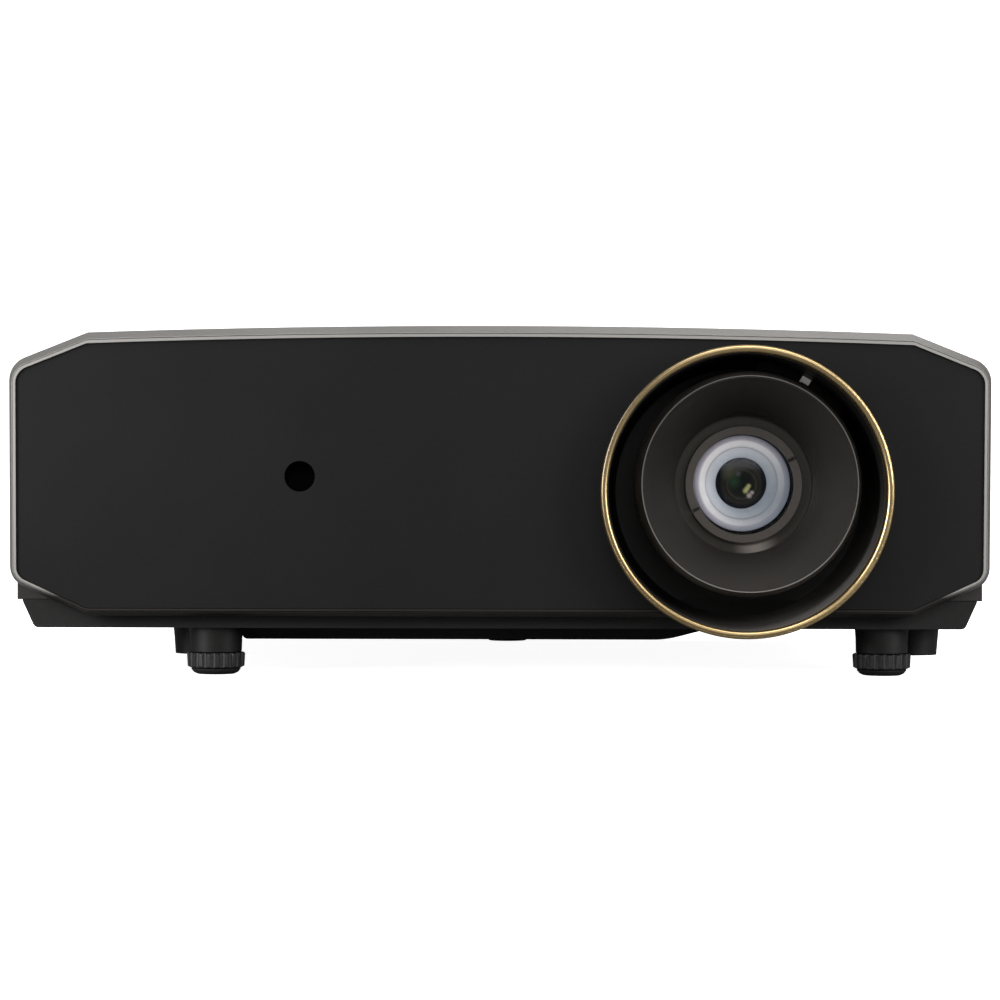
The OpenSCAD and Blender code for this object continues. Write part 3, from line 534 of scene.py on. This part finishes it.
glass_edge_y = element_low.y + 4.4 * MM
glass_thickness = 1.6 * MM
glass_face = dome(element_r - 0.1 * MM, glass_edge_y, 3.2 * MM)
front_glass = lathe("front_glass",
                    glass_face + [(r, y + glass_thickness) for r, y in reversed(glass_face)],
                    materials["coated_glass"], "front_group")
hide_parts("front_element")

# Dark tube behind the glass, then the bright ring and the pupil, both a little off centre as they show
# through the curved glass.
# The ring's colours are painted reflections of the coated inner lenses, lifted by a faint glow, with
# painted shade on the lower right.
optics = (lens_x + 0.1 * MM, lens_z + 0.15 * MM)
bowl_centre = (lens_x - 0.2 * MM, lens_z + 0.6 * MM)
band_y = glass_edge_y + 5.6 * MM
bright_r = 20.4 * MM
pupil_r = 10.9 * MM
tube = [(element_r, glass_edge_y + 2.5 * MM), (element_r, band_y + 1.5 * MM),
        (bright_r * 0.9, band_y + 1.5 * MM), (bright_r * 0.9, band_y + 1.1 * MM),
        (element_r - 0.3 * MM, band_y + 1.1 * MM), (element_r - 0.3 * MM, glass_edge_y + 2.5 * MM)]
inner_tube = lathe("inner_tube", tube, materials["shroud_black"], "front_group")
lilac_reflections = banded("lilac_reflections", bright_r,
                     [(0.52, (0.04, 0.05, 0.07)), (0.545, (0.30, 0.32, 0.34)),
                      (0.62, (0.34, 0.36, 0.38)), (0.70, (0.37, 0.385, 0.40)),
                      (0.735, (0.32, 0.33, 0.34)), (0.747, (0.15, 0.15, 0.16)),
                      (0.76, (0.41, 0.41, 0.41)), (0.80, (0.50, 0.49, 0.48)),
                      (0.87, (0.50, 0.48, 0.48)), (0.905, (0.26, 0.245, 0.27)),
                      (0.98, (0.13, 0.12, 0.14)), (1.0, (0.03, 0.027, 0.035))],
                     0.3, bowl_centre, glow=0.85, coat=0.2, shady=(0.10, 0.12, 0.14))
ring_steps = [(1.0, 0.0), (0.93, 0.3), (0.86, 0.6), (0.76, 1.2), (0.74, 1.5), (0.70, 1.6),
              (0.65, 2.1), (0.62, 2.2), (0.57, 2.9), (0.53, 3.4)]
bowl = [(bright_r * r, band_y + y * MM) for r, y in ring_steps]
reflection_bowl = lathe("reflection_bowl", bowl + [(r, y + 0.4 * MM) for r, y in reversed(bowl)],
                    lilac_reflections, "front_group", *bowl_centre)

# Painted reflections: the pupil's rings, patches and yellow and pink glints, with a faint glow
YELLOW_GLINT = (0.42, 0.42, 0.18)
PINK_GLINT = (0.40, 0.34, 0.31)
pupil_reflections = banded("pupil_reflections", pupil_r,
                     [(0.0, (0.004, 0.006, 0.005)), (0.46, (0.006, 0.008, 0.006)),
                      (0.54, (0.020, 0.020, 0.015)), (0.58, (0.034, 0.034, 0.026)),
                      (0.62, (0.010, 0.010, 0.008)), (0.74, (0.018, 0.017, 0.013)),
                      (0.80, (0.010, 0.010, 0.009)), (0.88, (0.003, 0.004, 0.008)),
                      (1.0, (0.002, 0.003, 0.009))],
                     0.12, optics, glow=0.4,
                     spots=((-5.4 * MM, 4.6 * MM, 4.6 * MM, (0.050, 0.052, 0.032)),
                            (-3.4 * MM, 1.0 * MM, 4.0 * MM, (0.018, 0.042, 0.020)),
                            (3.0 * MM, -0.7 * MM, 1.4 * MM, YELLOW_GLINT),
                            (2.3 * MM, -1.8 * MM, 1.6 * MM, YELLOW_GLINT),
                            (1.6 * MM, -2.8 * MM, 1.7 * MM, YELLOW_GLINT),
                            (4.4 * MM, -3.5 * MM, 1.3 * MM, PINK_GLINT),
                            (3.2 * MM, -4.8 * MM, 1.7 * MM, PINK_GLINT),
                            (-1.5 * MM, 4.4 * MM, 1.8 * MM, (0.060, 0.060, 0.065))))
pupil_y = band_y + 4.4 * MM
pupil = lathe("pupil_glass", dome(pupil_r * 1.04, pupil_y, 1.2 * MM)
              + [(pupil_r * 1.04, pupil_y + 0.5 * MM), (0, pupil_y + 0.5 * MM)],
              pupil_reflections, "front_group", *optics)


# ---- Marks on the keys -----------------------------------------------------------------------

MARK_SUNK = 0.02 * MM
MARK_PROUD = 0.03 * MM


def printed(key, outlines):
    """Thin marks on a key's top, from outlines about the key's middle."""
    at, top = middle(key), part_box(key)[1].z
    mesh = bmesh.new()
    for outline in outlines:
        low, high = [[mesh.verts.new((at.x + x, at.y + y, z)) for x, y in outline]
                     for z in (top - MARK_SUNK, top + MARK_PROUD)]
        mesh.faces.new(low)
        mesh.faces.new(high)
        for i in range(len(outline)):
            after = (i + 1) % len(outline)
            mesh.faces.new((low[i], low[after], high[after], high[i]))
    bmesh.ops.recalc_face_normals(mesh, faces=mesh.faces)
    piece(key + "_mark", mesh, materials["lever_grey"], key)


def arc(radius, start, end, steps=24):
    """Points along an arc, by angles clockwise from +Y."""
    return [(radius * math.sin(a), radius * math.cos(a))
            for a in (start + (end - start) * i / steps for i in range(steps + 1))]


def bar(low, high):
    return [(low[0], low[1]), (high[0], low[1]), (high[0], high[1]), (low[0], high[1])]


# A triangle on each arrow key, pointing away from the enter key
for key in ("key_up", "key_down", "key_left", "key_right"):
    away = middle(key) - middle("key_enter")
    heading = math.atan2(away.x, away.y)
    printed(key, [arc(1.5 * MM, heading, heading + TURN * 2 / 3, 2)])

# A broken ring with a bar, and three bars
gap = math.radians(35)
printed("key_power", [arc(1.7 * MM, gap, TURN - gap) + arc(1.35 * MM, TURN - gap, gap),
                      bar((-0.2 * MM, 0.4 * MM), (0.2 * MM, 2 * MM))])
printed("key_menu", [bar((-1.3 * MM, y), (1.3 * MM, y + 0.4 * MM))
                     for y in (-1.2 * MM, -0.2 * MM, 0.8 * MM)])


# ---- Stage, light and camera ---------------------------------------------------------------

PAPER_GLOW = 1.05


def paper():
    """White paper that glows for the camera only, throws little light back and is clear from below."""
    material, tree, bsdf = shader("paper")
    fine = noise(tree, object_coords(tree), 300, 2)
    tint = ramp(tree, fine, [(0.3, (0.88, 0.88, 0.88)), (0.7, (0.92, 0.92, 0.92))])
    seen = tree.nodes.new("ShaderNodeLightPath").outputs["Is Camera Ray"]
    tree.links.new(mixed(tree, seen, (0.16, 0.16, 0.16), tint), bsdf.inputs["Base Color"])
    tree.links.new(mixed(tree, seen, (0.0, 0.0, 0.0), tint), bsdf.inputs["Emission Color"])
    bsdf.inputs["Emission Strength"].default_value = PAPER_GLOW
    bsdf.inputs["Roughness"].default_value = 0.9
    bsdf.inputs["Specular IOR Level"].default_value = 0.0
    see_through = tree.nodes.new("ShaderNodeMixShader")
    tree.links.new(tree.nodes.new("ShaderNodeNewGeometry").outputs["Backfacing"], see_through.inputs[0])
    tree.links.new(bsdf.outputs["BSDF"], see_through.inputs[1])
    tree.links.new(tree.nodes.new("ShaderNodeBsdfTransparent").outputs["BSDF"], see_through.inputs[2])
    tree.links.new(see_through.outputs["Shader"], tree.nodes["Material Output"].inputs["Surface"])
    return material


def sweep():
    """Floor that curves up into a backdrop behind the projector."""
    mesh = bmesh.new()
    floor_z = -0.1 * MM             # just clear of the feet
    reach = 4.0
    bend_y = 1.2
    bend_r = 0.8
    profile = [(-reach, floor_z), (bend_y, floor_z)]
    profile += [(bend_y + bend_r * math.sin(a), floor_z + bend_r - bend_r * math.cos(a))
                for a in (math.radians(10 * i) for i in range(1, 10))]
    profile += [(bend_y + bend_r, reach)]
    sides = [[mesh.verts.new((x, y, z)) for y, z in profile] for x in (-reach, reach)]
    for i in range(len(profile) - 1):
        mesh.faces.new((sides[0][i], sides[1][i], sides[1][i + 1], sides[0][i + 1]))
    for face in mesh.faces:
        face.smooth = True
    data = bpy.data.meshes.new("backdrop")
    mesh.to_mesh(data)
    mesh.free()
    data.materials.append(paper())
    obj = bpy.data.objects.new("backdrop", data)
    bpy.context.scene.collection.objects.link(obj)


def soft_box(name, place, size, power, aim):
    """Rectangular area light at `place`, turned to face `aim`."""
    data = bpy.data.lights.new(name, "AREA")
    data.shape = "RECTANGLE"
    data.size, data.size_y = size
    data.energy = power
    obj = bpy.data.objects.new(name, data)
    obj.location = place
    obj.rotation_euler = (Vector(aim) - Vector(place)).to_track_quat("-Z", "Y").to_euler()
    bpy.context.scene.collection.objects.link(obj)


def world_light(strength):
    """Even white surroundings."""
    world = bpy.data.worlds.new("surroundings")
    bpy.context.scene.world = world
    world.use_nodes = True
    background = world.node_tree.nodes["Background"]
    background.inputs["Color"].default_value = (1, 1, 1, 1)
    background.inputs["Strength"].default_value = strength


bpy.context.scene.view_settings.view_transform = "Standard"
sweep()
world_light(0.2)
object_middle = Vector((0, 0, 0.07))
soft_box("overhead", (0.25, -0.6, 1.6), (1.8, 1.0), 34, object_middle)
soft_box("upper_right", (1.5, -1.2, 1.0), (0.8, 0.8), 12, object_middle)
soft_box("upper_left", (-1.3, -0.9, 0.9), (0.6, 0.6), 11, object_middle)
soft_box("front", (0.4, -2.4, 1.1), (2.0, 0.8), 13, object_middle)
soft_box("behind", (-0.5, 1.1, 0.9), (0.9, 0.5), 9, object_middle)
soft_box("left_end", (-0.62, -0.52, 0.2), (0.3, 0.3), 5.0, (-0.2, front_y, 0.07))
soft_box("right_end", (0.64, -0.52, 0.2), (0.25, 0.25), 2.4, (0.2, front_y, 0.07))

camera_distance = 1.1               # from the front of the frame
camera_height = 0.0732
picture_width = 0.4107              # width seen at the front of the frame
camera_roll = math.radians(-0.136)
sensor_mm = 36
camera_data = bpy.data.cameras.new("camera")
camera_data.sensor_width = sensor_mm
camera_data.lens = sensor_mm * camera_distance / picture_width
camera_data.clip_start = 0.01
camera = bpy.data.objects.new("camera", camera_data)
camera.location = (0, front_y - camera_distance, camera_height)
camera.rotation_euler = (math.radians(90), camera_roll, 0)
bpy.context.scene.collection.objects.link(camera)
bpy.context.scene.camera = camera
